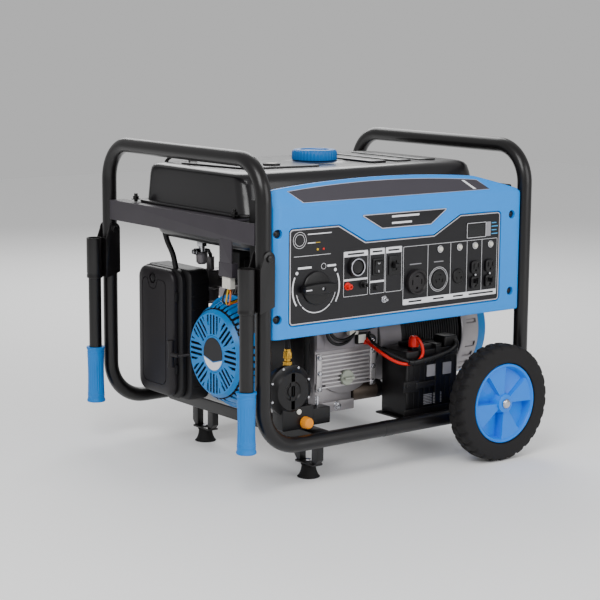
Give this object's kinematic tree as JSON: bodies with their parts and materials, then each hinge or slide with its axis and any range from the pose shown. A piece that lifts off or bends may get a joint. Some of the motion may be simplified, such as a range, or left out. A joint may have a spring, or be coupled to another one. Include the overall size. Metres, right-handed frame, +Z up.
{
  "type": "portable generator",
  "caption": "Open-frame portable engine generator with bent tube frame, fuel tank, blue control panel, recoil starter, battery, flat-free wheels, rubber feet and fold-down handles.",
  "frame": {"origin": "on the ground, under the middle of the outer box", "axes": "+X along the control panel towards the wheel end, +Y from the control panel to the back, +Z up"},
  "size_m": [0.7826, 0.768, 0.682],
  "materials": {
    "powder_coat": "black powder coat, satin",
    "sheet_metal": "dark grey painted sheet, satin",
    "tank_paint": "black paint, gloss",
    "rubber": "matt moulded rubber",
    "tyre": "matt moulded tread",
    "blue_plastic": "moulded, semi-gloss",
    "grip_rubber": "ribbed, semi-matt",
    "black_plastic": "moulded, fine texture",
    "grey_plastic": "moulded",
    "orange_plastic": "moulded",
    "red_plastic": "soft vinyl",
    "zinc": "bright zinc plate",
    "cast_aluminium": "die cast, matt",
    "steel": "turned and blackened",
    "copper": "varnished windings"
  },
  "bodies": {
    "frame": {"frame_hoop_left": "powder_coat", "frame_hoop_right": "powder_coat", "base_crossmember_left": "powder_coat", "base_crossmember_right": "powder_coat", "tank_crossbar_left": "sheet_metal", "tank_crossbar_right": "sheet_metal", "fuel_tank": "tank_paint", "rubber_foot_front": "rubber", "rubber_foot_back": "rubber", "gas_hose": "rubber", "panel_housing": "blue_plastic", "recoil_cover": "blue_plastic", "control_plate": "black_plastic", "outlet_large_round": "black_plastic", "outlet_twist_lock": "black_plastic", "outlet_duplex_left": "black_plastic", "outlet_duplex_right": "black_plastic", "fan_shroud": "black_plastic", "air_filter_base": "black_plastic", "air_filter_cover": "black_plastic", "battery": "black_plastic", "gas_regulator": "black_plastic", "alternator_stator": "black_plastic", "axle_bolt_front": "zinc", "axle_bolt_back": "zinc", "handle_bolt_front": "zinc", "handle_bolt_back": "zinc", "crankcase": "cast_aluminium", "cylinder_block": "cast_aluminium", "carburettor": "cast_aluminium", "alternator_end_cover": "cast_aluminium", "muffler": "steel", "starter_motor": "steel", "battery_cable": "red_plastic"},
    "handle_front": {"handle_yoke_front": "powder_coat", "handle_tube_front": "powder_coat", "handle_grip_front": "grip_rubber"},
    "handle_back": {"handle_yoke_back": "powder_coat", "handle_tube_back": "powder_coat", "handle_grip_back": "grip_rubber"},
    "wheel_front": {"tyre_front": "tyre", "wheel_rim_front": "blue_plastic"},
    "wheel_back": {"tyre_back": "tyre", "wheel_rim_back": "blue_plastic"},
    "crank": {"crankshaft": "steel", "flywheel_fan": "cast_aluminium", "alternator_rotor": "copper"},
    "recoil_grip": {"recoil_grip": "black_plastic"},
    "fuel_cap": {"fuel_cap": "blue_plastic"},
    "oil_filler_cap": {"oil_filler_cap": "grey_plastic"},
    "gas_inlet_cap": {"gas_inlet_cap": "orange_plastic"},
    "fuel_selector": {"fuel_selector_knob": "black_plastic"},
    "start_button": {"start_button": "black_plastic"},
    "reset_button": {"reset_button": "black_plastic"},
    "engine_switch": {"engine_switch_rocker": "black_plastic"},
    "main_breaker": {"main_breaker_lever": "black_plastic"},
    "breaker_button_1": {"breaker_button_1": "zinc"},
    "breaker_button_2": {"breaker_button_2": "zinc"},
    "breaker_button_3": {"breaker_button_3": "zinc"},
    "breaker_button_4": {"breaker_button_4": "zinc"}
  },
  "joints": [
    {"name": "handle_front_fold", "type": "hinge", "parent": "frame", "child": "handle_front", "pos_m": [-0.33075, -0.288, 0.478], "axis": [0, 1, 0], "range_deg": [0, 90]},
    {"name": "handle_back_fold", "type": "hinge", "parent": "frame", "child": "handle_back", "pos_m": [-0.33075, 0.288, 0.478], "axis": [0, 1, 0], "range_deg": [0, 90]},
    {"name": "wheel_front_spin", "type": "hinge", "parent": "frame", "child": "wheel_front", "pos_m": [0.24825, -0.288, 0.127], "axis": [0, 1, 0], "continuous": true},
    {"name": "wheel_back_spin", "type": "hinge", "parent": "frame", "child": "wheel_back", "pos_m": [0.24825, 0.288, 0.127], "axis": [0, 1, 0], "continuous": true},
    {"name": "crank_spin", "type": "hinge", "parent": "frame", "child": "crank", "pos_m": [-0.03075, -0.048, 0.243], "axis": [1, 0, 0], "continuous": true},
    {"name": "recoil_pull", "type": "slide", "parent": "frame", "child": "recoil_grip", "axis": [0, 1, 0], "range_m": [0, 0.5], "stiffness_N_per_m": 20},
    {"name": "fuel_cap_lift", "type": "slide", "parent": "frame", "child": "fuel_cap", "axis": [0, 0, 1], "range_m": [0, 0.08]},
    {"name": "oil_cap_pull", "type": "slide", "parent": "frame", "child": "oil_filler_cap", "axis": [0, -1, 0], "range_m": [0, 0.05]},
    {"name": "gas_cap_pull", "type": "slide", "parent": "frame", "child": "gas_inlet_cap", "axis": [0, -1, 0], "range_m": [0, 0.05]},
    {"name": "fuel_selector_turn", "type": "hinge", "parent": "frame", "child": "fuel_selector", "pos_m": [-0.20675, -0.2973, 0.409], "axis": [0, -1, 0], "range_deg": [0, 180]},
    {"name": "start_button_press", "type": "slide", "parent": "frame", "child": "start_button", "axis": [0, 1, 0], "range_m": [0, 0.003], "stiffness_N_per_m": 400},
    {"name": "reset_button_press", "type": "slide", "parent": "frame", "child": "reset_button", "axis": [0, 1, 0], "range_m": [0, 0.0025], "stiffness_N_per_m": 400},
    {"name": "engine_switch_tip", "type": "hinge", "parent": "frame", "child": "engine_switch", "pos_m": [-0.04775, -0.2995, 0.438], "axis": [1, 0, 0], "range_deg": [-8, 8]},
    {"name": "main_breaker_flip", "type": "hinge", "parent": "frame", "child": "main_breaker", "pos_m": [-0.00475, -0.2998, 0.438], "axis": [1, 0, 0], "range_deg": [-20, 20]},
    {"name": "breaker_1_pop_out", "type": "slide", "parent": "frame", "child": "breaker_button_1", "axis": [0, -1, 0], "range_m": [0, 0.004]},
    {"name": "breaker_2_pop_out", "type": "slide", "parent": "frame", "child": "breaker_button_2", "axis": [0, -1, 0], "range_m": [0, 0.004]},
    {"name": "breaker_3_pop_out", "type": "slide", "parent": "frame", "child": "breaker_button_3", "axis": [0, -1, 0], "range_m": [0, 0.004]},
    {"name": "breaker_4_pop_out", "type": "slide", "parent": "frame", "child": "breaker_button_4", "axis": [0, -1, 0], "range_m": [0, 0.004]}
  ]
}
